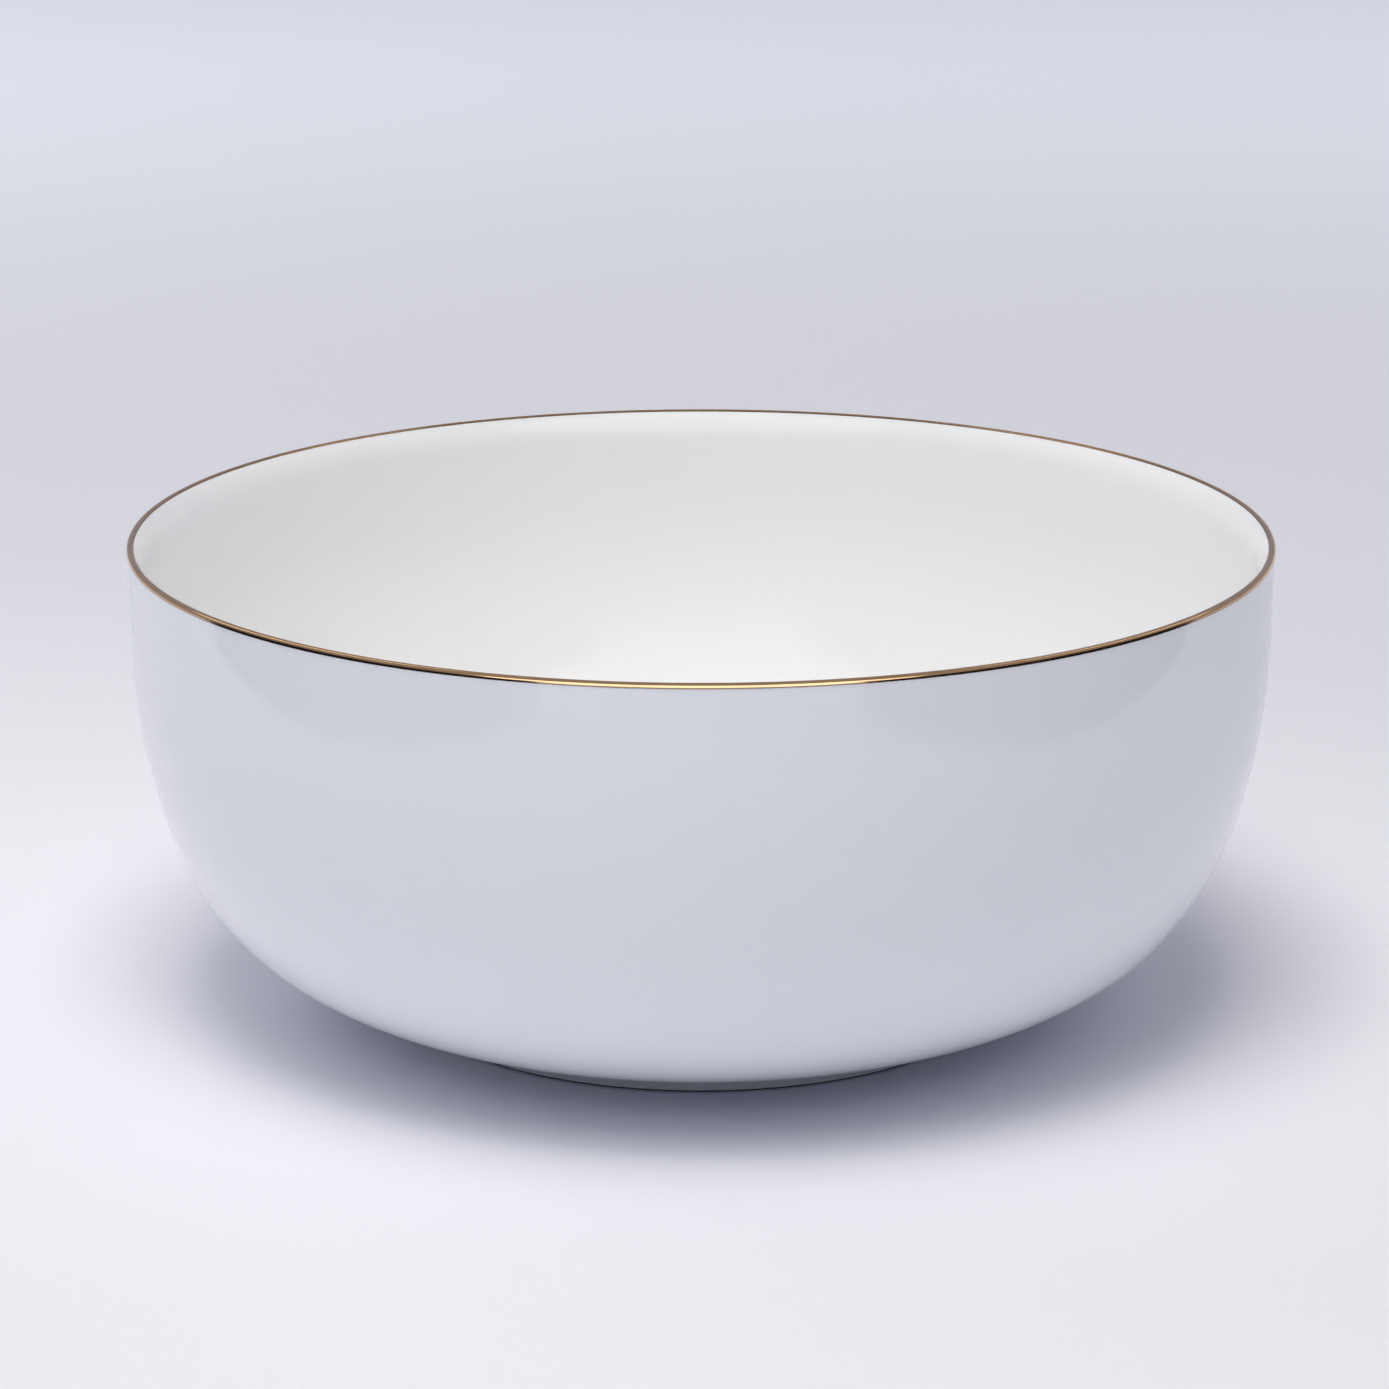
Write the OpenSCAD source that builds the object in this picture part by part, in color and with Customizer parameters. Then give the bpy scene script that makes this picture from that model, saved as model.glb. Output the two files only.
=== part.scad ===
// Round porcelain serving bowl with a steep wall, a full belly, a low foot ring
// and a gilded lip. Millimetres, +Z up, origin at the centre of the face that
// the foot ring stands on. Every section is drawn with the radius along X and
// the height along Y, and is then turned about the Z axis.

/* [Overall] */
// Outside diameter over the gilded lip
rim_d = 240; // [190:1:300]
// Height from the table to the top of the gilded lip
overall_h = 101.6; // [84:0.2:140]

/* [Wall] */
// Thickness of the finished wall and floor, glaze included
wall_t = 3.4; // [2.6:0.1:5]
// Lean of the upper wall from upright, in degrees
wall_lean = 1.1; // [0:0.1:4]
// Radius of the half-round lip
lip_r = 0.9; // [0.7:0.05:1.3]
// Height below the lip over which the inside of the wall thins
thinning_h = 8; // [6:0.5:24]

/* [Belly] */
// Radius of the arc that starts the belly under the upper wall
upper_arc_r = 130; // [100:1:160]
// Turn of that arc, in degrees
upper_arc_turn = 15.5; // [10:0.1:18]
// Radius of the arc through the fullest part of the belly
belly_arc_r = 66; // [50:1:80]
// Turn of that arc, in degrees
belly_arc_turn = 22; // [18:0.1:30]
// Radius of the tight arc where the belly turns under
turn_arc_r = 38; // [20:1:50]
// Turn of that arc, in degrees
turn_arc_turn = 14; // [6:0.1:18]
// Radius of the shallow arc that runs in to the flat base
under_arc_r = 60; // [45:1:80]

/* [Foot] */
// Outside diameter of the glazed foot ring
foot_d = 128.5; // [100:0.5:160]
// Height of the flat base above the table
foot_h = 4.3; // [4.2:0.1:8]
// Width of the glazed foot ring
foot_w = 4.6; // [3.6:0.1:8]
// Radius of the rounded edges of the ground contact face
foot_edge_r = 0.6; // [0.3:0.1:1]
// Height of the unglazed band above the table
foot_bare_h = 0.8; // [0.6:0.1:2]

/* [Finish] */
// Thickness of the fired glaze
glaze_t = 0.25; // [0.15:0.01:0.4]
// Thickness of the gold band
gold_t = 0.08; // [0.04:0.01:0.15]
// Width of the gold on the wall below the rounding of the lip
gold_drop = 0.1; // [0.1:0.05:3]
// Reach of the gold past the top of the lip on the inside, in degrees
gold_reach = 50; // [10:1:80]

/* [Hidden] */
$fn = 180;

upright = 90;
crown = -upright;
belly_step = 2.5;
lip_step = 10;
glazed_lip_r = lip_r - gold_t;
lip_centre = [rim_d / 2 - lip_r, overall_h - lip_r];
foot_r = foot_d / 2;
recess_r = foot_r - foot_w;

// Radii of the belly's arcs from the upper wall down, and where each one ends
arc_r = [upper_arc_r, belly_arc_r, turn_arc_r, under_arc_r];
arc_a = [
    wall_lean,
    wall_lean + upper_arc_turn,
    wall_lean + upper_arc_turn + belly_arc_turn,
    wall_lean + upper_arc_turn + belly_arc_turn + turn_arc_turn,
    upright
];
arc_count = len(arc_r);

// Unit vector out of the wall, a degrees below level
function out(a) = [cos(a), -sin(a)];
// Unit vector down a wall that leans a degrees
function down(a) = [-sin(a), -cos(a)];
// The same points in the opposite order
function backwards(points) = [for (i = [len(points) - 1:-1:0]) points[i]];
// Points along an arc from a1 to a2 degrees below level, less the first few
function arc(centre, r, a1, a2, step, skip = 0) =
    let (count = ceil((a2 - a1) / step))
    [for (i = [skip:count]) centre + r * out(a1 + (a2 - a1) * i / count)];

// Height that the arcs take up, from arc i on
function arc_drop(i = 0) =
    i == arc_count ? 0 : arc_r[i] * (sin(arc_a[i + 1]) - sin(arc_a[i])) + arc_drop(i + 1);
// Top of the straight wall at a depth below the glazed surface
function wall_top(depth) = lip_centre + (glazed_lip_r - depth) * out(wall_lean);

// The straight wall takes the height that the arcs and the foot leave
straight_l = (wall_top(0).y - foot_h - arc_drop()) / cos(wall_lean);
first_centre = wall_top(0) + straight_l * down(wall_lean) - upper_arc_r * out(wall_lean);

// Centre of arc i, placed so that the arc is tangent to the one above it
function arc_centre(i) =
    i == 0 ? first_centre : arc_centre(i - 1) + (arc_r[i - 1] - arc_r[i]) * out(arc_a[i]);

// Outline from the top of the straight wall down to the axis, at a depth
function wall_line(depth) = concat(
    [wall_top(depth), wall_top(depth) + straight_l * down(wall_lean)],
    [for (i = [0:arc_count - 1])
        each arc(arc_centre(i), arc_r[i] - depth, arc_a[i], arc_a[i + 1], belly_step, 1)],
    [[0, foot_h + depth]]
);
// Height of that outline at a radius
function height_at(r, depth) = lookup(r, [for (p = wall_line(depth)) [p.x, p.y]]);
// Radius of that outline at a height
function radius_at(h, depth) = lookup(h, [for (p = wall_line(depth)) [p.y, p.x]]);

// Lower end of the thinning face on the inside, at a depth into the glaze
function thin_end(depth) =
    let (h = overall_h - thinning_h)
    [radius_at(h, wall_t - depth), h];
// Lean of the thinning face, a line from its lower end tangent to the lip
function thin_lean(depth) =
    let (v = thin_end(depth) - lip_centre)
    atan2(-v.x, -v.y) - asin((glazed_lip_r - depth) / norm(v));

// Rounding of the lip from the thinning face up to the crown
function lip_inside(depth) =
    arc(lip_centre, glazed_lip_r - depth, thin_lean(depth) - 2 * upright, crown, lip_step);
// Rounding of the lip from the crown to the outer wall, less a first few points
function lip_outside(r, skip = 0) = arc(lip_centre, r, crown, wall_lean, lip_step, skip);

// Outline of the inside from the centre of the floor up to the crown
function inside_line(depth) = concat(
    backwards([for (p = wall_line(wall_t - depth)) if (p.y < thin_end(depth).y) p]),
    [thin_end(depth)],
    lip_inside(depth)
);
// Outline of the outside from the crown down to a radius under the belly
function outside_line(depth, end_r, skip = 0) = concat(
    lip_outside(glazed_lip_r - depth, skip),
    [for (p = wall_line(depth)) if (p.x > end_r && p.y < wall_top(depth).y) p],
    [[end_r, height_at(end_r, depth)]]
);
// Outline of the flat base from the axis out to a radius
function base_line(depth, end_r) = concat(
    backwards([for (p = wall_line(depth)) if (p.x < end_r) p]),
    [[end_r, height_at(end_r, depth)]]
);

// Turns a closed outline about the Z axis
module turned(points) {
    rotate_extrude() polygon(points);
}

// Fired porcelain wall, belly and floor, in one piece
module porcelain_body() {
    color("whitesmoke") turned(concat(inside_line(glaze_t), outside_line(glaze_t, 0, 1)));
}

// Ring luted under the belly, with a ground, unglazed contact face
module foot_ring() {
    inner = recess_r + glaze_t;
    outer = foot_r - glaze_t;
    seat = [for (p = wall_line(glaze_t)) if (p.x > inner && p.x < outer) p];
    color("gainsboro") turned(concat(
        [[outer, height_at(outer, glaze_t)]],
        arc([outer - foot_edge_r, foot_edge_r], foot_edge_r, 0, upright, lip_step),
        arc([inner + foot_edge_r, foot_edge_r], foot_edge_r, upright, 2 * upright, lip_step),
        [[inner, height_at(inner, glaze_t)]],
        backwards(seat)
    ));
}

// Glaze over the inside, from the crown of the lip to the floor
module inner_glaze() {
    color("white") turned(concat(inside_line(0), backwards(inside_line(glaze_t))));
}

// Glaze over the outside, from the crown of the lip to the foot's bare band
module outer_glaze() {
    bare_r = foot_r - glaze_t;
    color("ghostwhite") turned(concat(
        outside_line(0, foot_r),
        [[foot_r, foot_bare_h], [bare_r, foot_bare_h]],
        backwards(outside_line(glaze_t, bare_r))
    ));
}

// Glaze on the flat base and the foot's inner side
module base_glaze() {
    bare_r = recess_r + glaze_t;
    color("aliceblue") turned(concat(
        base_line(0, recess_r),
        [[recess_r, foot_bare_h], [bare_r, foot_bare_h]],
        backwards(base_line(glaze_t, bare_r))
    ));
}

// Burnished gold over the lip
module rim_gold_band() {
    inside_a = crown - gold_reach;
    lower = wall_top(0) + gold_drop * down(wall_lean);
    color("goldenrod") turned(concat(
        arc(lip_centre, lip_r, inside_a, crown, lip_step),
        lip_outside(lip_r, 1),
        [lower + gold_t * out(wall_lean), lower],
        backwards(lip_outside(glazed_lip_r, 1)),
        backwards(arc(lip_centre, glazed_lip_r, inside_a, crown, lip_step))
    ));
}

porcelain_body();
foot_ring();
inner_glaze();
outer_glaze();
base_glaze();
rim_gold_band();
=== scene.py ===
"""Porcelain serving bowl with a gilded lip, turned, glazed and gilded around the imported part.

Every piece is drawn as a half section, radius against height, and turned about the bowl's
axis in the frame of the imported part: metres, +Z up, origin on the table under the axis.
"""

import logging
import math
from dataclasses import dataclass
from enum import Enum
from typing import Any, Mapping, Optional, Sequence, Union

import bmesh
import bpy
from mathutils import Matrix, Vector


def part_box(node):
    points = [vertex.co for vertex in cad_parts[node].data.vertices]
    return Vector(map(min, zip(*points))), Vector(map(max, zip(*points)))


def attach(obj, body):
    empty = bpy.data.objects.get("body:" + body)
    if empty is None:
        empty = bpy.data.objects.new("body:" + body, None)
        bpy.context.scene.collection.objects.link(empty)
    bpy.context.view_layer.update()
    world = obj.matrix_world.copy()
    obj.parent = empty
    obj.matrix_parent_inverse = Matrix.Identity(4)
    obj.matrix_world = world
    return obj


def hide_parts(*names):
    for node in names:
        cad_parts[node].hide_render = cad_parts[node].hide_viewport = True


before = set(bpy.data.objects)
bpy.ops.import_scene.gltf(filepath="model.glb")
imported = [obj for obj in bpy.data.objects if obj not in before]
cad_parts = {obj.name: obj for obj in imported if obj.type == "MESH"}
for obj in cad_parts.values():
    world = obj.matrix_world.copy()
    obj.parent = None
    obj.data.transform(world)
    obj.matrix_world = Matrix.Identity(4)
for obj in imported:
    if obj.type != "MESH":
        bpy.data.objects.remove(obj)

log = logging.getLogger("bowl")

MM = 0.001
BODY = "root"
CURVE_PULL = 0.4


class Node(Enum):
    """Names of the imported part's nodes."""

    PORCELAIN = "porcelain_body"
    FOOT = "foot_ring"
    INNER_GLAZE = "inner_glaze"
    OUTER_GLAZE = "outer_glaze"
    BASE_GLAZE = "base_glaze"
    GOLD = "rim_gold_band"


class Slot(Enum):
    """Names of the record's finishes."""

    PORCELAIN = "porcelain"
    BARE = "bare_porcelain"
    INNER_GLAZE = "inside_glaze"
    OUTER_GLAZE = "outside_glaze"
    BASE_GLAZE = "base_glaze"
    GOLD = "rim_gold"


# --------------------------------------------------------------------------- half section


def outward(lean: float) -> Vector:
    """Unit vector out of a wall that faces this many degrees below level."""
    return Vector((math.cos(math.radians(lean)), -math.sin(math.radians(lean))))


def downward(lean: float) -> Vector:
    """Unit vector down a wall that faces this many degrees below level."""
    return Vector((-math.sin(math.radians(lean)), -math.cos(math.radians(lean))))


def arc(centre: Vector, radius: float, start: float, end: float, chord: float) -> list[Vector]:
    """Points along an arc of the section.

    Args:
        centre: Centre of the arc, radius and height.
        radius: Radius of the arc.
        start: Angle of its first point, in degrees below level.
        end: Angle of its last point, in degrees below level.
        chord: Longest straight step along it.

    Returns:
        The points in order, the first and the last included.
    """
    steps = max(2, math.ceil(abs(math.radians(end - start)) * radius / chord))
    return [centre + radius * outward(start + (end - start) * i / steps) for i in range(steps + 1)]


def swept(start: Vector, leave: Vector, arrive: Vector, end: Vector, steps: int) -> list[Vector]:
    """Points along a smooth curve that leaves and arrives in given directions.

    Args:
        start: First point.
        leave: Unit vector in which the curve leaves it.
        arrive: Unit vector in which the curve reaches its end.
        end: Last point.
        steps: Number of straight steps.

    Returns:
        The points in order, the first and the last included.
    """
    pull = (end - start).length * CURVE_PULL
    a, b = start + leave * pull, end - arrive * pull
    ts = [i / steps for i in range(steps + 1)]
    return [
        start * (1 - t) ** 3 + a * 3 * t * (1 - t) ** 2 + b * 3 * t * t * (1 - t) + end * t**3
        for t in ts
    ]


@dataclass(frozen=True)
class Section:
    """Half section of the finished bowl that all its pieces share.

    A depth is measured from the glazed surface into the wall, and angles are in degrees
    below level.
    """

    rim_r: float
    overall_h: float
    foot_r: float
    base_h: float
    bare_h: float
    wall_t: float
    glaze_t: float = 0.25 * MM
    gold_t: float = 0.08 * MM
    lip_r: float = 0.9 * MM
    lean: float = 1.1
    thinning_h: float = 8 * MM
    thinning_steps: int = 16
    lip_lean: float = 32.0
    foot_w: float = 4.6 * MM
    arc_r: tuple[float, ...] = (130 * MM, 66 * MM, 38 * MM, 60 * MM)
    arc_turn: tuple[float, ...] = (15.5, 22.0, 14.0)
    wall_chord: float = 2.4 * MM
    lip_chord: float = 0.14 * MM

    @classmethod
    def from_frame(cls) -> "Section":
        """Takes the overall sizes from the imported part's own boxes."""
        glaze_t, gold = cls.glaze_t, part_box(Node.GOLD.value)[1]
        base_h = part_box(Node.BASE_GLAZE.value)[1].z - glaze_t
        return cls(
            rim_r=gold.x,
            overall_h=gold.z,
            foot_r=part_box(Node.FOOT.value)[1].x + glaze_t,
            base_h=base_h,
            bare_h=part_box(Node.OUTER_GLAZE.value)[0].z,
            wall_t=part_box(Node.INNER_GLAZE.value)[0].z + glaze_t - base_h,
        )

    @property
    def recess_r(self) -> float:
        """Radius inside the glazed foot ring."""
        return self.foot_r - self.foot_w

    @property
    def lip_centre(self) -> Vector:
        """Centre of the half-round lip."""
        return Vector((self.rim_r - self.lip_r, self.overall_h - self.lip_r))

    @property
    def glazed_lip_r(self) -> float:
        """Radius of the lip under the gold."""
        return self.lip_r - self.gold_t

    def wall_top(self, depth: float = 0.0) -> Vector:
        """Top of the straight outer wall at a depth."""
        return self.lip_centre + (self.glazed_lip_r - depth) * outward(self.lean)

    def belly(self) -> list[tuple[Vector, float, float, float]]:
        """Arcs of the belly from the straight wall down to the flat base.

        Returns:
            Centre, radius, first angle and last angle of each arc.
        """
        ends = [self.lean]
        for turn in self.arc_turn:
            ends.append(ends[-1] + turn)
        ends.append(90.0)
        sines = [math.sin(math.radians(a)) for a in ends]
        drop = sum(r * (low - high) for r, high, low in zip(self.arc_r, sines, sines[1:]))
        straight = (self.wall_top().y - self.base_h - drop) / math.cos(math.radians(self.lean))
        turning = self.wall_top() + straight * downward(self.lean)
        arcs = []
        for radius, start, end in zip(self.arc_r, ends, ends[1:]):
            centre = turning - radius * outward(start)
            arcs.append((centre, radius, start, end))
            turning = centre + radius * outward(end)
        return arcs

    def base_height(self, r: float, depth: float = 0.0) -> float:
        """Height of the underside at a radius near the foot, at a depth."""
        centre, radius, _, _ = self.belly()[-1]
        reach = max(0.0, r - centre.x)
        return centre.y - math.sqrt((radius - depth) ** 2 - reach**2)

    def wall(self, depth: float) -> list[Vector]:
        """Outline from the top of the straight wall down the belly to the axis, at a depth."""
        points = [self.wall_top(depth)]
        for centre, radius, start, end in self.belly():
            points += arc(centre, radius - depth, start, end, self.wall_chord)
        return points + [Vector((0.0, self.base_h + depth))]

    def outside(self, depth: float, end_r: float) -> list[Vector]:
        """Outline from the crown of the lip down the outside to a radius under the belly."""
        lip = arc(self.lip_centre, self.glazed_lip_r - depth, -90, self.lean, self.lip_chord)
        wall = [p for p in self.wall(depth)[1:] if p.x > end_r + self.glaze_t]
        return lip + wall + [Vector((end_r, self.base_height(end_r, depth)))]

    def inside(self, depth: float) -> list[Vector]:
        """Outline from the centre of the floor up the inside to the crown of the lip."""
        into = self.wall_t - depth
        top = self.overall_h - self.thinning_h
        wall = [p for p in reversed(self.wall(into)) if p.y < top - self.wall_chord / 2]
        foot = self.wall_top(into)
        foot += downward(self.lean) * ((foot.y - top) / math.cos(math.radians(self.lean)))
        lip = arc(
            self.lip_centre, self.glazed_lip_r - depth, self.lip_lean - 180, -90, self.lip_chord
        )
        lip_lean = math.radians(self.lip_lean)
        climb = Vector((math.sin(lip_lean), math.cos(lip_lean)))
        thinning = swept(foot, -downward(self.lean), climb, lip[0], self.thinning_steps)
        return wall + thinning[:-1] + lip

    def base(self, depth: float, end_r: float) -> list[Vector]:
        """Outline from the axis out along the underside to a radius, at a depth."""
        inner = [p for p in reversed(self.wall(depth)) if p.x < end_r - self.glaze_t]
        return inner + [Vector((end_r, self.base_height(end_r, depth)))]


# --------------------------------------------------------------------------- turning


@dataclass(frozen=True)
class Rounding:
    """A turned edge that gets a rounding.

    Attributes:
        r: Radius of the edge.
        z: Height of the edge.
        width: Width of the rounding.
        steps: Number of faces across it.
    """

    r: float
    z: float
    width: float
    steps: int = 3


@dataclass(frozen=True)
class Lathe:
    """Turns closed outlines about the bowl's axis into smooth, closed meshes."""

    steps: int = 240
    merge: float = 0.001 * MM
    sharp: float = 40.0

    def turn(self, name: str, outline: Sequence[Vector], closed: bool) -> bpy.types.Object:
        """Turns an outline into a solid.

        Args:
            name: Name of the piece.
            outline: Its half section, radius and height of each corner in order.
            closed: True for a ring, whose outline ends where it starts. Otherwise the
                outline starts and ends on the axis.

        Returns:
            The finished mesh object, at the origin.
        """
        path = [Vector((p.x, 0.0, p.y)) for p in outline]
        if closed:
            path.append(path[0])
        bpy.ops.object.select_all(action="DESELECT")
        bpy.ops.mesh.primitive_plane_add(size=MM, location=path[0])
        piece = bpy.context.object
        piece.name = piece.data.name = name
        bpy.ops.object.transform_apply(location=True, rotation=True, scale=True)
        bpy.ops.object.mode_set(mode="EDIT")
        bpy.ops.mesh.select_mode(type="VERT")
        bpy.ops.mesh.select_all(action="SELECT")
        bpy.ops.mesh.merge(type="CENTER")
        for here, there in zip(path, path[1:]):
            bpy.ops.mesh.extrude_vertices_move(TRANSFORM_OT_translate={"value": there - here})
        bpy.ops.mesh.select_all(action="SELECT")
        bpy.ops.mesh.spin(steps=self.steps, angle=math.tau, center=(0, 0, 0), axis=(0, 0, 1))
        bpy.ops.mesh.select_all(action="SELECT")
        bpy.ops.mesh.remove_doubles(threshold=self.merge)
        bpy.ops.mesh.normals_make_consistent(inside=False)
        bpy.ops.object.mode_set(mode="OBJECT")
        return piece

    def round_edges(self, piece: bpy.types.Object, roundings: Sequence[Rounding]) -> None:
        """Rounds turned edges, each picked by its radius and height."""
        bpy.ops.object.select_all(action="DESELECT")
        piece.select_set(True)
        bpy.context.view_layer.objects.active = piece
        bpy.ops.object.mode_set(mode="EDIT")
        bpy.ops.mesh.select_mode(type="EDGE")
        for rounding in roundings:
            bpy.ops.mesh.select_all(action="DESELECT")
            mesh = bmesh.from_edit_mesh(piece.data)
            for edge in mesh.edges:
                edge.select = all(
                    abs(math.hypot(v.co.x, v.co.y) - rounding.r) < 2 * self.merge
                    and abs(v.co.z - rounding.z) < 2 * self.merge
                    for v in edge.verts
                )
            bmesh.update_edit_mesh(piece.data)
            bpy.ops.mesh.bevel(
                offset=rounding.width, segments=rounding.steps, affect="EDGES", profile=0.5
            )
        bpy.ops.object.mode_set(mode="OBJECT")

    def smooth(self, piece: bpy.types.Object) -> None:
        """Shades a piece smooth over all but its sharp edges."""
        bpy.ops.object.select_all(action="DESELECT")
        piece.select_set(True)
        bpy.context.view_layer.objects.active = piece
        bpy.ops.object.shade_smooth_by_angle(angle=math.radians(self.sharp))


# --------------------------------------------------------------------------- shader bench

Colour = tuple[float, float, float]
Feed = Union["Wire", float, Sequence[float]]

CHINA_IOR = 1.5


class Wire:
    """An output socket. Arithmetic on it adds Math nodes."""

    def __init__(self, bench: "Bench", socket: bpy.types.NodeSocket) -> None:
        """Keeps the bench that the socket is on, and the socket."""
        self.bench = bench
        self.socket = socket

    def __add__(self, other: Feed) -> "Wire":
        """This plus another."""
        return self.bench.math("ADD", self, other)

    def __sub__(self, other: Feed) -> "Wire":
        """This less another."""
        return self.bench.math("SUBTRACT", self, other)

    def __mul__(self, other: Feed) -> "Wire":
        """This times another."""
        return self.bench.math("MULTIPLY", self, other)

    def __truediv__(self, other: Feed) -> "Wire":
        """This over another."""
        return self.bench.math("DIVIDE", self, other)

    __radd__ = __add__
    __rmul__ = __mul__


class Bench:
    """Builds the nodes of one material or world."""

    def __init__(self, owner: Union[bpy.types.Material, bpy.types.World], output: str) -> None:
        """Empties the owner's nodes and adds its output node."""
        owner.use_nodes = True
        self.owner = owner
        self.nodes = owner.node_tree.nodes
        self.links = owner.node_tree.links
        self.nodes.clear()
        self.output = self.nodes.new("ShaderNodeOutput" + output)

    @classmethod
    def material(cls, name: str) -> "Bench":
        """Starts a new material."""
        return cls(bpy.data.materials.new(name), "Material")

    @classmethod
    def world(cls, name: str) -> "Bench":
        """Starts a new world."""
        return cls(bpy.data.worlds.new(name), "World")

    def node(
        self,
        kind: str,
        settings: Optional[Mapping[str, Any]] = None,
        sockets: Optional[Mapping[Union[str, int], Feed]] = None,
        out: Union[str, int] = 0,
    ) -> Wire:
        """Adds a node.

        Args:
            kind: The node's type, without its ShaderNode prefix.
            settings: Its properties, set first. The key stops holds a ramp's positions
                and grey levels.
            sockets: The values or wires of its inputs.
            out: Which output to return.

        Returns:
            The chosen output.
        """
        made = self.nodes.new("ShaderNode" + kind)
        for key, value in (settings or {}).items():
            if key == "stops":
                self._set_ramp(made.color_ramp, value)
            else:
                setattr(made, key, value)
        for key, value in (sockets or {}).items():
            self.feed(made.inputs[key], value)
        return Wire(self, made.outputs[out])

    def _set_ramp(self, ramp: bpy.types.ColorRamp, stops: Sequence[tuple[float, float]]) -> None:
        """Gives a ramp its stops, as positions and grey levels."""
        while len(ramp.elements) < len(stops):
            ramp.elements.new(0.5)
        for element, (position, grey) in zip(ramp.elements, stops):
            element.position = position
            element.color = (grey, grey, grey, 1.0)

    def feed(self, socket: bpy.types.NodeSocket, value: Feed) -> None:
        """Links or sets one input."""
        if isinstance(value, Wire):
            self.links.new(value.socket, socket)
        elif socket.type == "RGBA" and len(value) == 3:
            socket.default_value = (*value, 1.0)
        else:
            socket.default_value = value

    def math(self, operation: str, first: Feed, second: Feed = 0.0) -> Wire:
        """Adds a Math node on one or two values."""
        return self.node("Math", {"operation": operation}, {0: first, 1: second})

    def mix(self, factor: Feed, first: Feed, second: Feed) -> Wire:
        """Blends two colours."""
        made = self.nodes.new("ShaderNodeMix")
        made.data_type = "RGBA"
        self.feed(made.inputs[0], factor)
        self.feed(made.inputs[6], first)
        self.feed(made.inputs[7], second)
        return Wire(self, made.outputs[2])

    def noise(self, vector: Feed, scale: float, detail: float = 2.0, rough: float = 0.5) -> Wire:
        """Adds a noise pattern between 0 and 1."""
        sockets = {"Vector": vector, "Scale": scale, "Detail": detail, "Roughness": rough}
        return self.node("TexNoise", None, sockets)

    def ramp(self, value: Wire, start: float, end: float, kind: str = "LINEAR") -> Wire:
        """Rises from 0 where the value is at its start to 1 where it is at its end."""
        return self.node("MapRange", {"interpolation_type": kind}, {0: value, 1: start, 2: end})

    def place(self) -> Wire:
        """Position on the object, in metres."""
        return self.node("TexCoord", None, None, "Object")

    def bump(self, height: Feed, distance: float, strength: float = 1.0) -> Wire:
        """Turns a height pattern into a surface normal."""
        return self.node(
            "Bump", None, {"Height": height, "Distance": distance, "Strength": strength}
        )

    def finish(self, sockets: Mapping[str, Feed]) -> bpy.types.Material:
        """Adds the surface shader with these inputs and returns the material."""
        self.show(self.node("BsdfPrincipled", None, sockets))
        return self.owner

    def show(self, surface: Wire) -> None:
        """Connects a shader to the output."""
        self.links.new(surface.socket, self.output.inputs["Surface"])

    def parts(self, vector: Wire) -> tuple["Wire", "Wire", "Wire"]:
        """Splits a vector into its three values."""
        split = self.nodes.new("ShaderNodeSeparateXYZ")
        self.feed(split.inputs[0], vector)
        x, y, z = (Wire(self, out) for out in split.outputs)
        return x, y, z


# --------------------------------------------------------------------------- finishes


@dataclass(frozen=True)
class ClearGlaze:
    """Glossy clear glaze over white porcelain.

    Attributes:
        name: Name of the material.
        tint: Colour of the glazed white, by default darker and bluer than inside, as painted shade.
        pooled: Colour where the glaze pooled, by default darkened the same way.
        foot_shade_h: Height up to which the glaze over the foot is painted grey as painted shade, or
            zero.
        foot_shade_tint: Colour of that painted shade.
        gloss: Middle roughness.
        shine: Strength of the reflections, 0.5 for glass.
        gloss_spread: Range of the roughness about the middle.
        ripple: Depth of the slow ripple.
        peel: Depth of the fine orange-peel texture.
        cloud_scale: Fineness of the clouds in the colour.
        breath_scale: Fineness of the changes in the gloss.
        ripple_scale: Fineness of the ripple.
        peel_scale: Fineness of the orange peel.
        foot_shade_fade: Height over which the painted shade of the foot sets in.
    """

    name: str
    tint: Colour = (0.89, 0.897, 0.918)
    pooled: Colour = (0.875, 0.885, 0.91)
    foot_shade_h: float = 0.0
    foot_shade_tint: Colour = (0.60, 0.60, 0.58)
    gloss: float = 0.07
    shine: float = 0.5
    gloss_spread: float = 0.05
    ripple: float = 0.003 * MM
    peel: float = 0.00025 * MM
    cloud_scale: float = 26.0
    breath_scale: float = 60.0
    ripple_scale: float = 45.0
    peel_scale: float = 900.0
    foot_shade_fade: float = 0.6 * MM

    def make(self) -> bpy.types.Material:
        """Builds the material.

        Returns:
            White with faint clouds where the glaze pooled, a slow ripple, and a fine
            orange-peel texture in the gloss.
        """
        bench = Bench.material(self.name)
        place = bench.place()
        colour = bench.mix(bench.noise(place, self.cloud_scale, 3.0), self.tint, self.pooled)
        # Painted shade: below the given height the glaze turns grey, where the foot sits in shadow.
        if self.foot_shade_h:
            _, _, z = bench.parts(place)
            low = bench.ramp(z, self.foot_shade_h, self.foot_shade_h - self.foot_shade_fade)
            colour = bench.mix(low, colour, self.foot_shade_tint)
        breath = bench.noise(place, self.breath_scale, 4.0)
        slow = bench.noise(place, self.ripple_scale, 1.0)
        fine = bench.noise(place, self.peel_scale, 1.0)
        return bench.finish(
            {
                "Base Color": colour,
                "Roughness": breath * self.gloss_spread + (self.gloss - self.gloss_spread / 2),
                "IOR": CHINA_IOR,
                "Specular IOR Level": self.shine,
                "Normal": bench.bump((slow * self.ripple + fine * self.peel) / MM, MM),
            }
        )


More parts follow.
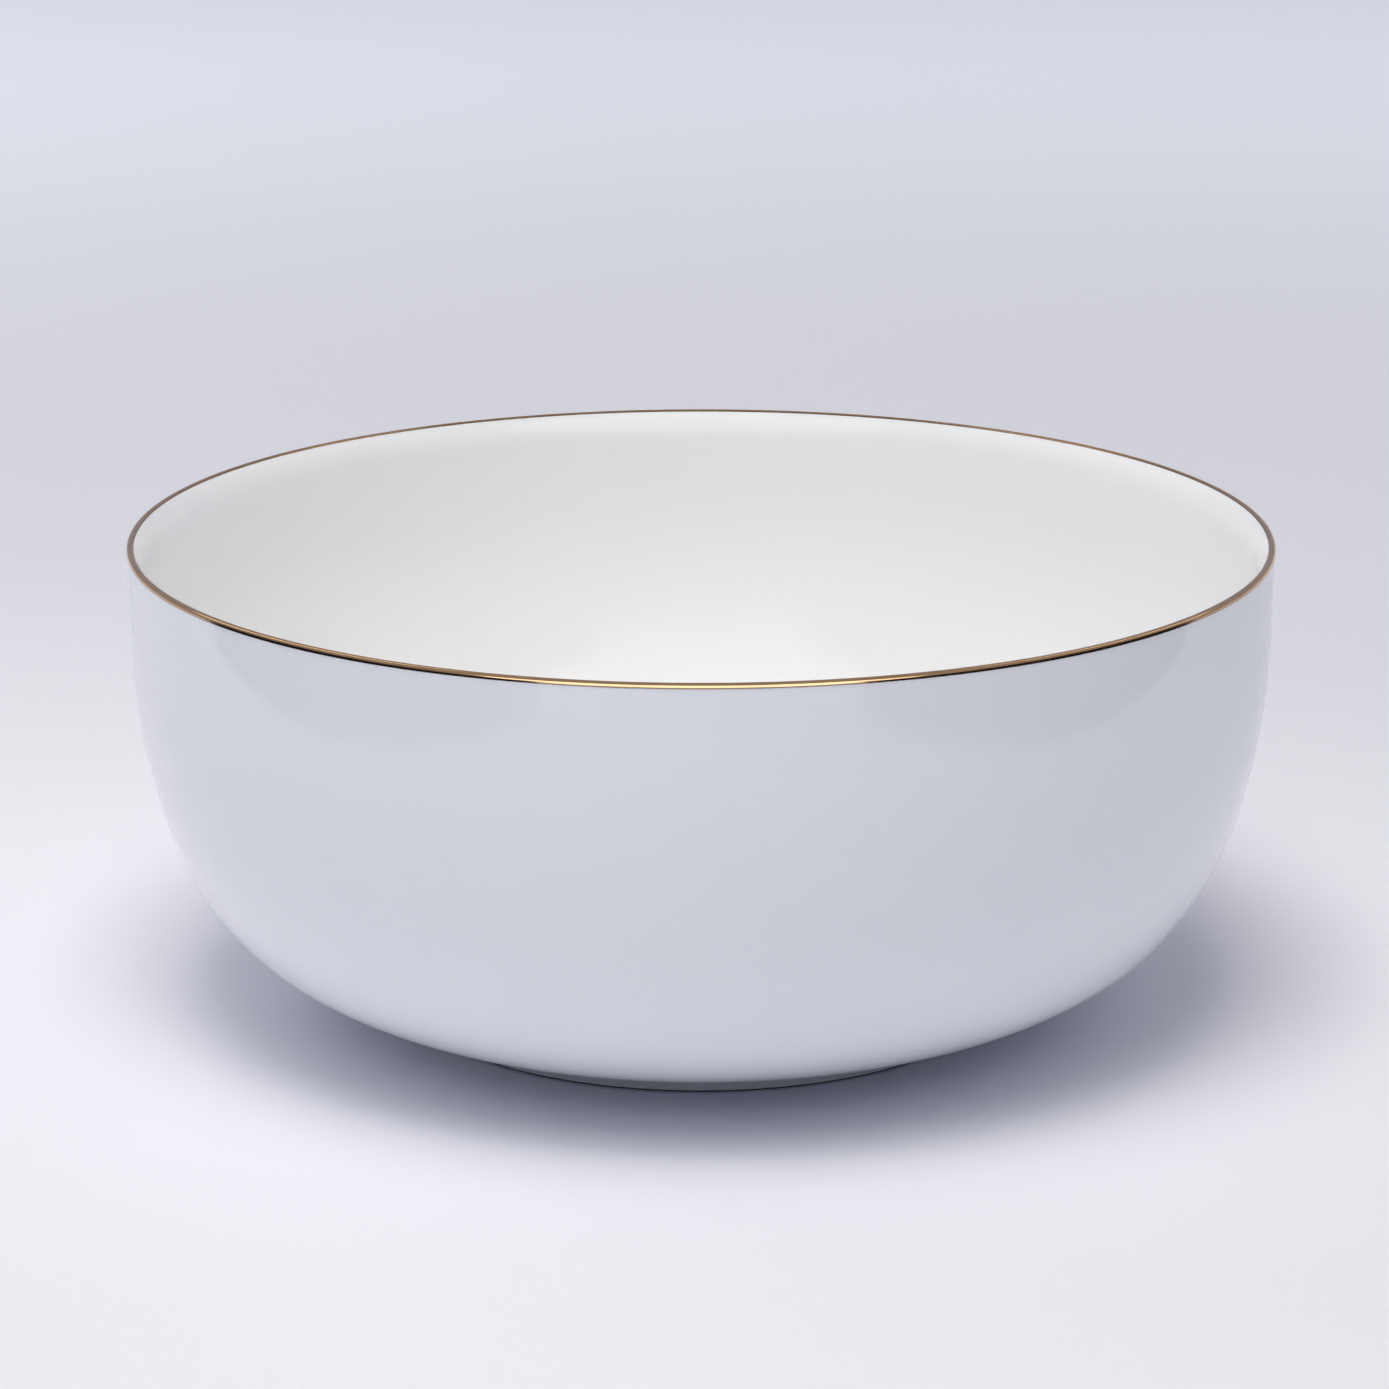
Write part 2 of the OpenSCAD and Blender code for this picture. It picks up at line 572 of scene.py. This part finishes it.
@dataclass(frozen=True)
class BareChina:
    """Unglazed fired porcelain, ground where it stands.

    Attributes:
        name: Name of the material.
        clean: Colour of the fired clay.
        rubbed: Colour where it is rubbed grey.
        contact_shadow_h: Height above the table up to which the clay is painted dark as a contact
            shadow, or zero.
        contact_shadow: Colour of the painted contact shadow.
        grain: Depth of the grain.
        rub_scale: Fineness of the rubbing marks.
        grain_scale: Fineness of the grain.
    """

    name: str
    clean: Colour = (0.74, 0.72, 0.68)
    rubbed: Colour = (0.56, 0.54, 0.50)
    contact_shadow_h: float = 0.0
    contact_shadow: Colour = (0.07, 0.066, 0.062)
    grain: float = 0.02 * MM
    rub_scale: float = 220.0
    grain_scale: float = 2600.0

    def make(self) -> bpy.types.Material:
        """Builds a dry, sugary white with fine grain, faint grey rubbing and a painted contact
        shadow.
        """
        bench = Bench.material(self.name)
        place = bench.place()
        rub = bench.noise(place, self.rub_scale, 5.0, 0.65)
        marks = bench.node("ValToRGB", {"stops": [(0.45, 0.0), (0.72, 1.0)]}, {"Fac": rub})
        speck = bench.noise(place, self.grain_scale, 2.0)
        colour = bench.mix(marks, self.clean, self.rubbed)
        # Painted contact shadow: the clay turns dark just above the table, where the foot meets it.
        if self.contact_shadow_h:
            _, _, z = bench.parts(place)
            low = bench.ramp(z, self.contact_shadow_h, self.contact_shadow_h * 0.7)
            ground = bench.ramp(z, 0.0, 0.03 * MM)
            colour = bench.mix(low * ground, colour, self.contact_shadow)
        normal = bench.bump(speck * self.grain / MM, MM)
        return bench.finish(
            {
                "Base Color": colour,
                "Roughness": 0.62 + speck * 0.2,
                "IOR": CHINA_IOR,
                "Normal": normal,
            }
        )


@dataclass(frozen=True)
class FiredGold:
    """Thin gold, banded on with a brush and burnished.

    Attributes:
        name: Name of the material.
        lip: Radius and height of the lip's centre.
        bright: Colour of the full coat.
        thin: Colour of worn places.
        dark_edge_reflection: Colour of the band's two edges, darkened as a painted dark reflection.
        streak: Depth of the brush marks.
        low_edge: Where the painted dark reflection starts below and where it is full, in degrees
            from the crown outwards.
        high_edge: The same on the inside.
        along: Fineness of the brush marks along the rim.
        across: Fineness of the brush marks across it.
    """

    name: str
    lip: Vector
    bright: Colour = (0.92, 0.60, 0.33)
    thin: Colour = (0.80, 0.50, 0.27)
    dark_edge_reflection: Colour = (0.26, 0.15, 0.085)
    streak: float = 0.002 * MM
    low_edge: tuple[float, float] = (78.0, 90.0)
    high_edge: tuple[float, float] = (-36.0, -46.0)
    along: float = 22.0
    across: float = 5.0

    def make(self) -> bpy.types.Material:
        """Builds a metal with fine streaks along the rim, worn places and a painted dark reflection
        at both edges.
        """
        bench = Bench.material(self.name)
        place = bench.place()
        x, y, z = bench.parts(place)
        out = bench.math("SQRT", x * x + y * y) - self.lip.x
        turn = bench.math("ARCTAN2", out, z - self.lip.y)
        # Masks of the band's lower and inner edges, which take the painted dark reflection.
        lower, inner = (
            bench.ramp(turn, math.radians(start), math.radians(end))
            for start, end in (self.low_edge, self.high_edge)
        )
        brushed = bench.node(
            "CombineXYZ", None, {0: x * self.along, 1: y * self.along, 2: turn * self.across}
        )
        streaks = bench.noise(brushed, 1.0, 3.0, 0.6)
        wear = bench.noise(place, 90.0, 4.0, 0.6)
        patchy = bench.node("ValToRGB", {"stops": [(0.42, 0.0), (0.70, 1.0)]}, {"Fac": wear})
        coat = bench.mix(patchy, self.bright, self.thin)
        # Painted dark reflection: both edges of the band turn brown-black.
        colour = bench.mix(lower + inner, coat, self.dark_edge_reflection)
        normal = bench.bump(streaks * self.streak / MM, MM)
        return bench.finish(
            {
                "Base Color": colour,
                "Metallic": 1.0,
                "Roughness": streaks * 0.10 + 0.07,
                "Normal": normal,
            }
        )


# --------------------------------------------------------------------------- sub-assemblies


def settle(piece: bpy.types.Object, node: Node, slot: Slot, finish: bpy.types.Material) -> None:
    """Dresses a finished piece and puts it in place of its node on the bowl."""
    piece.data.materials.clear()
    piece.data.materials.append(finish)
    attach(piece, BODY)
    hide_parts(node.value)
    log.info("%s: %d faces, %s", piece.name, len(piece.data.polygons), finish.name)


@dataclass(frozen=True)
class Clay:
    """The fired porcelain: the thrown body and the foot ring luted under it."""

    section: Section
    lathe: Lathe
    foot_edge: float = 0.6 * MM
    foot_edge_steps: int = 6

    def body(self) -> bpy.types.Object:
        """Turns the wall, belly and floor."""
        glaze_t = self.section.glaze_t
        outline = self.section.inside(glaze_t) + self.section.outside(glaze_t, 0.0)[1:]
        return self.lathe.turn("porcelain_wall", outline, closed=False)

    def foot(self) -> bpy.types.Object:
        """Turns the foot ring, with both edges of its ground face rounded."""
        s = self.section
        inner, outer = s.recess_r + s.glaze_t, s.foot_r - s.glaze_t
        seat = [
            Vector((r, s.base_height(r, s.glaze_t)))
            for r in (inner, (inner + outer) / 2, outer)
        ]
        ground = [Vector((outer, 0.0)), Vector((inner, 0.0))]
        piece = self.lathe.turn("standing_ring", seat + ground, closed=True)
        edges = [Rounding(r, 0.0, self.foot_edge, self.foot_edge_steps) for r in (inner, outer)]
        self.lathe.round_edges(piece, edges)
        return piece

    def build(self) -> None:
        """Builds and dresses the body and the foot."""
        body, foot = self.body(), self.foot()
        for piece in (body, foot):
            self.lathe.smooth(piece)
        fired = BareChina("fired_china", clean=(0.8, 0.79, 0.77))
        # The standing ring gets a painted contact shadow along the table.
        ground = BareChina("ground_china", contact_shadow_h=0.55 * MM)
        settle(body, Node.PORCELAIN, Slot.PORCELAIN, fired.make())
        settle(foot, Node.FOOT, Slot.BARE, ground.make())


@dataclass(frozen=True)
class GlazeCoat:
    """The glaze: inside, outside, and the base with the foot's inner side."""

    section: Section
    lathe: Lathe
    fillet: float = 0.25 * MM
    fillet_steps: int = 6
    bead: float = 0.11 * MM

    def inner(self) -> bpy.types.Object:
        """Turns the glaze of the inside, up to the crown of the lip."""
        s = self.section
        outline = s.inside(0.0) + list(reversed(s.inside(s.glaze_t)))
        return self.lathe.turn("glaze_inside", outline, closed=False)

    def outer(self) -> bpy.types.Object:
        """Turns the glaze of the outside, from the crown to its bead above the bare foot."""
        s = self.section
        bare_r = s.foot_r - s.glaze_t
        end = [Vector((s.foot_r, s.bare_h)), Vector((bare_r, s.bare_h))]
        outline = s.outside(0.0, s.foot_r) + end + list(reversed(s.outside(s.glaze_t, bare_r)))
        piece = self.lathe.turn("glaze_outside", outline, closed=True)
        self.lathe.round_edges(
            piece,
            [
                Rounding(s.foot_r, s.base_height(s.foot_r), self.fillet, self.fillet_steps),
                Rounding(s.foot_r, s.bare_h, self.bead),
                Rounding(bare_r, s.bare_h, self.bead),
            ],
        )
        return piece

    def base(self) -> bpy.types.Object:
        """Turns the glaze of the base and of the foot's inner side."""
        s = self.section
        bare_r = s.recess_r + s.glaze_t
        end = [Vector((s.recess_r, s.bare_h)), Vector((bare_r, s.bare_h))]
        outline = s.base(0.0, s.recess_r) + end + list(reversed(s.base(s.glaze_t, bare_r)))
        piece = self.lathe.turn("glaze_base", outline, closed=False)
        self.lathe.round_edges(
            piece,
            [
                Rounding(s.recess_r, s.base_height(s.recess_r), self.fillet, self.fillet_steps),
                Rounding(s.recess_r, s.bare_h, self.bead),
                Rounding(bare_r, s.bare_h, self.bead),
            ],
        )
        return piece

    def build(self) -> None:
        """Builds and dresses the three glazes."""
        # Painted light and shade: the inside glaze is a brighter white than the outside and base
        # glazes, which keep the darker, bluer default white.
        white = ClearGlaze(
            "inside_glaze", (0.96, 0.96, 0.96), (0.948, 0.95, 0.953), gloss=0.13, shine=0.32
        )
        # The outside glaze is painted grey over the foot as painted shade.
        shaded_outside = ClearGlaze("outside_glaze", foot_shade_h=self.section.base_h)
        made = (
            (self.inner(), Node.INNER_GLAZE, Slot.INNER_GLAZE, white),
            (self.outer(), Node.OUTER_GLAZE, Slot.OUTER_GLAZE, shaded_outside),
            (self.base(), Node.BASE_GLAZE, Slot.BASE_GLAZE, ClearGlaze("base_glaze")),
        )
        for piece, node, slot, glaze in made:
            self.lathe.smooth(piece)
            settle(piece, node, slot, glaze.make())


@dataclass(frozen=True)
class Gilding:
    """The gold band over the lip."""

    section: Section
    lathe: Lathe
    drop: float = 0.05 * MM
    reach: float = 50.0

    def band(self) -> bpy.types.Object:
        """Turns the band from its reach on the inside over the crown and down the wall."""
        s = self.section
        start = -90 - self.reach
        low = s.wall_top() + self.drop * downward(s.lean)
        over = arc(s.lip_centre, s.lip_r, start, s.lean, s.lip_chord)
        under = arc(s.lip_centre, s.glazed_lip_r, start, s.lean, s.lip_chord)
        end = [low + s.gold_t * outward(s.lean), low]
        return self.lathe.turn("gold_band", over + end + list(reversed(under)), closed=True)

    def build(self) -> None:
        """Builds and dresses the band."""
        piece = self.band()
        self.lathe.smooth(piece)
        settle(piece, Node.GOLD, Slot.GOLD, FiredGold("fired_gold", self.section.lip_centre).make())


# --------------------------------------------------------------------------- studio


class Task(Enum):
    """What a light is for."""

    LIGHTING = "lights the surfaces, and is kept out of their reflections"
    GLINT = "is only seen as a reflection in gold and glaze"


def bearing(round_by: float, rise: float = 0.0) -> Vector:
    """Unit vector from the bowl, in degrees round from the camera's side to +X and up."""
    turn, tilt = math.radians(round_by), math.radians(rise)
    return Vector((math.sin(turn) * math.cos(tilt), -math.cos(turn) * math.cos(tilt), math.sin(tilt)))


@dataclass(frozen=True)
class Softbox:
    """A soft area light that faces the bowl.

    Attributes:
        name: Name of the light.
        round: Its bearing, in degrees round from the camera's side towards +X.
        up: Its elevation, in degrees.
        size: Its width and its height.
        power: Its power in watts.
        colour: Its colour.
        task: What it is for.
        away: Its distance.
    """

    name: str
    round: float
    up: float
    size: tuple[float, float]
    power: float
    colour: Colour
    task: Task = Task.LIGHTING
    away: float = 2.0

    def hang(self) -> None:
        """Adds the light."""
        lamp = bpy.data.lights.new(self.name, "AREA")
        lamp.shape = "RECTANGLE"
        lamp.size, lamp.size_y = self.size
        lamp.energy = self.power
        lamp.color = self.colour
        light = bpy.data.objects.new(self.name, lamp)
        towards = bearing(self.round, self.up)
        light.location = towards * self.away
        light.rotation_euler = towards.to_track_quat("Z", "Y").to_euler()
        light.visible_diffuse = self.task is Task.LIGHTING
        light.visible_glossy = self.task is Task.GLINT
        bpy.context.scene.collection.objects.link(light)


@dataclass(frozen=True)
class Flag:
    """A black card that stands beside the camera and draws a dark edge in the gold.

    Attributes:
        name: Name of the card.
        round: Its bearing, in degrees round from the camera's side towards +X.
        width: Its width.
        height: Its height.
        away: Its distance.
        black: Its colour.
    """

    name: str
    round: float
    width: float = 0.52
    height: float = 0.25
    away: float = 0.37
    black: Colour = (0.01, 0.01, 0.011)

    def stand(self) -> None:
        """Stands the card on the floor, where only reflections show it."""
        bpy.ops.object.select_all(action="DESELECT")
        bpy.ops.mesh.primitive_plane_add(size=1.0)
        card = bpy.context.object
        card.name = card.data.name = self.name
        card.scale = (self.width, self.height, 1.0)
        card.rotation_euler = bearing(self.round).to_track_quat("Z", "Y").to_euler()
        card.location = bearing(self.round) * self.away + Vector((0.0, 0.0, self.height / 2))
        bpy.ops.object.transform_apply(location=True, rotation=True, scale=True)
        bench = Bench.material(self.name)
        card.data.materials.append(bench.finish({"Base Color": self.black, "Roughness": 0.9}))
        card.visible_camera = card.visible_diffuse = card.visible_shadow = False


@dataclass(frozen=True)
class Sweep:
    """Pale floor that curves up all round into a soft backdrop, lit by the lamps and glowing.

    Attributes:
        floor_r: Radius of the flat floor.
        bend_r: Radius of the bend.
        top: Height of the backdrop.
        paint: Colour of the floor.
        back_shade_paint: Colour of the floor behind the bowl, darker as painted shade.
        far_paint: Colour of the bend and the backdrop.
        floor_glow: Light that the floor gives off far from the bowl.
        back_glow: Light that the backdrop gives off behind the bowl.
        front_glow: Light that it gives off on the camera's side.
        glow_from: Distance from the bowl at which the floor starts to glow.
        glow_full: Distance at which it glows in full.
        behind: Y at which the painted shade behind the bowl starts and ends its fade, on the bowl's
            own X.
        slant: Shift of that fade for each metre of X.
        wear: Brightness of worn paint.
    """

    floor_r: float = 2.3
    bend_r: float = 1.0
    top: float = 2.0
    paint: Colour = (0.89, 0.895, 0.955)
    back_shade_paint: Colour = (0.78, 0.79, 0.85)
    far_paint: Colour = (0.36, 0.38, 0.42)
    floor_glow: Colour = (0.20, 0.215, 0.235)
    back_glow: Colour = (0.10, 0.105, 0.15)
    front_glow: Colour = (0.05, 0.065, 0.14)
    glow_from: float = 0.5
    glow_full: float = 1.5
    behind: tuple[float, float] = (0.06, 0.32)
    slant: float = 0.35
    wear: float = 0.985

    def finish(self) -> bpy.types.Material:
        """Builds a smooth pale board that glows far from the bowl and where it rises, with painted
        shade on the floor behind the bowl.
        """
        bench = Bench.material("pale_board")
        place = bench.place()
        x, y, height = bench.parts(place)
        cloud = bench.noise(place, 3.0, 3.0)
        reach = bench.math("SQRT", x * x + y * y)
        far = bench.ramp(reach, self.glow_from, self.glow_full, "SMOOTHSTEP")
        rise = bench.ramp(height, 0.0, self.bend_r * 0.5)
        # Painted shade: the floor darkens behind the bowl, slanting across X.
        past = bench.ramp(y + x * self.slant, *self.behind)
        wall_glow = bench.mix(bench.ramp(y, -0.5, 0.5), self.front_glow, self.back_glow)
        worn = tuple(c * self.wear for c in self.paint)
        near = bench.mix(past, bench.mix(cloud, self.paint, worn), self.back_shade_paint)
        return bench.finish(
            {
                "Base Color": bench.mix(rise, near, self.far_paint),
                "Roughness": 0.9,
                "Specular IOR Level": 0.0,
                "Emission Color": bench.mix(
                    rise, bench.mix(far, (0.0, 0.0, 0.0), self.floor_glow), wall_glow
                ),
                "Emission Strength": 1.0,
            }
        )

    def build(self, lathe: Lathe) -> None:
        """Turns the floor and the backdrop in one sheet."""
        bend = arc(Vector((self.floor_r, self.bend_r)), self.bend_r, 90, 0, 0.1)
        outline = [Vector((0.0, 0.0))] + bend + [Vector((self.floor_r + self.bend_r, self.top))]
        board = lathe.turn("backdrop", outline, closed=False)
        lathe.smooth(board)
        board.data.materials.append(self.finish())


@dataclass(frozen=True)
class Studio:
    """Plain pale floor, soft light and the camera.

    Attributes:
        eye: Place of the camera.
        pitch: Its tilt down, in radians.
        focal: Its focal length in millimetres.
        shift_x: Its sideways shift, a share of the picture's width.
        room: Colour of the dim room above the backdrop.
        softboxes: The lights.
        flags: The black cards.
    """

    eye: tuple[float, float, float] = (0.0, -1.0, 0.34667)
    pitch: float = 0.2737
    focal: float = 127.06
    shift_x: float = -0.00468
    room: Colour = (0.27, 0.27, 0.285)
    softboxes: tuple[Softbox, ...] = (
        Softbox("key_high", -15, 78, (0.9, 0.9), 13.0, (1.0, 0.97, 0.89)),
        Softbox("key_front", -5, 66, (0.9, 0.9), 9.3, (1.0, 0.98, 0.89)),
        Softbox("key_left", -45, 64, (0.9, 0.9), 2.0, (0.95, 0.97, 1.0)),
        Softbox("fill_left", -55, 32, (1.2, 1.2), 1.3, (0.95, 0.97, 1.0)),
        Softbox("back_left", -135, 30, (1.4, 1.4), 6.5, (1.0, 0.98, 1.0)),
        Softbox("back_right", 135, 30, (1.4, 1.4), 2.9, (1.0, 0.97, 1.0)),
        Softbox("window", 0, 32, (2.9, 1.7), 23.0, (1.0, 0.99, 0.97), Task.GLINT),
        Softbox("strip_left", -130, 48, (0.3, 1.2), 1.1, (1.0, 0.97, 0.95), Task.GLINT),
        Softbox("strip_right", 128, 46, (0.3, 1.2), 0.8, (1.0, 0.97, 0.95), Task.GLINT),
    )
    flags: tuple[Flag, ...] = (Flag("flag_left", -62), Flag("flag_right", 62))

    def sky(self) -> None:
        """Fills the room above the backdrop with dim, even light."""
        bench = Bench.world("dim_room")
        bench.show(bench.node("Background", None, {"Color": self.room, "Strength": 1.0}))
        bpy.context.scene.world = bench.owner

    def camera(self) -> None:
        """Adds the camera."""
        lens = bpy.data.cameras.new("camera")
        lens.lens = self.focal
        lens.sensor_width = 36.0
        lens.shift_x = self.shift_x
        lens.clip_start, lens.clip_end = 0.05, 60.0
        eye = bpy.data.objects.new("camera", lens)
        eye.location = self.eye
        eye.rotation_euler = (math.pi / 2 - self.pitch, 0.0, 0.0)
        bpy.context.scene.collection.objects.link(eye)
        bpy.context.scene.camera = eye

    def build(self, lathe: Lathe) -> None:
        """Sets up the floor, the light and the camera."""
        Sweep().build(lathe)
        self.sky()
        for softbox in self.softboxes:
            softbox.hang()
        for flag in self.flags:
            flag.stand()
        self.camera()
        bpy.context.scene.view_settings.view_transform = "Standard"


def main() -> None:
    """Builds the bowl and the studio."""
    logging.basicConfig(level=logging.INFO, format="%(message)s")
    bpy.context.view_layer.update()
    section, lathe = Section.from_frame(), Lathe()
    log.info("sizes: %s", section)
    Clay(section, lathe).build()
    GlazeCoat(section, lathe).build()
    Gilding(section, lathe).build()
    Studio().build(Lathe(steps=96))


if __name__ == "__main__":
    main()
